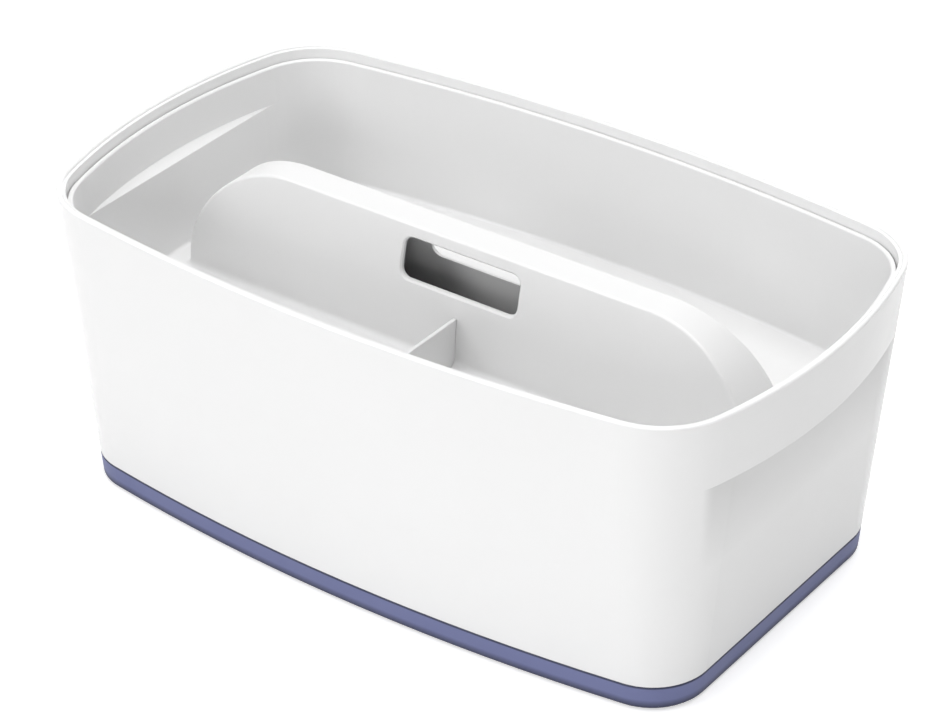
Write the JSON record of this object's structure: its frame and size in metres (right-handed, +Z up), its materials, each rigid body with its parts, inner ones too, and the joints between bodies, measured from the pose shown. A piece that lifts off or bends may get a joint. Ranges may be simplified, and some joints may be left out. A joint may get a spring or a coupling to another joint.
{
  "type": "storage tray with handle",
  "caption": "Lift-out storage tray with a hollow ridge handle and a cross divider, seated on end ledges in its open rounded desk box with a coloured base.",
  "frame": {"origin": "middle of the footprint, on the surface that the box stands on", "axes": "+X along the length of the box and of the handle ridge, +Y from the front, where the divider is, to the back, +Z up"},
  "size_m": [0.3178, 0.191, 0.1293],
  "materials": {
    "white_shell": "glossy white moulded plastic",
    "base_colour": "satin violet-blue moulded plastic",
    "white_tray": "satin white moulded plastic",
    "white_divider": "satin white plastic plate"
  },
  "bodies": {
    "box": {"box_shell": "white_shell", "base_pan": "base_colour"},
    "tray": {"handle_tray": "white_tray"},
    "divider": {"cross_divider": "white_divider"}
  },
  "joints": [
    {"name": "tray_lift", "type": "slide", "parent": "box", "child": "tray", "axis": [0, 0, 1], "range_m": [0, 0.08]},
    {"name": "divider_lift", "type": "slide", "parent": "tray", "child": "divider", "axis": [0, 0, 1], "range_m": [0, 0.06]}
  ]
}
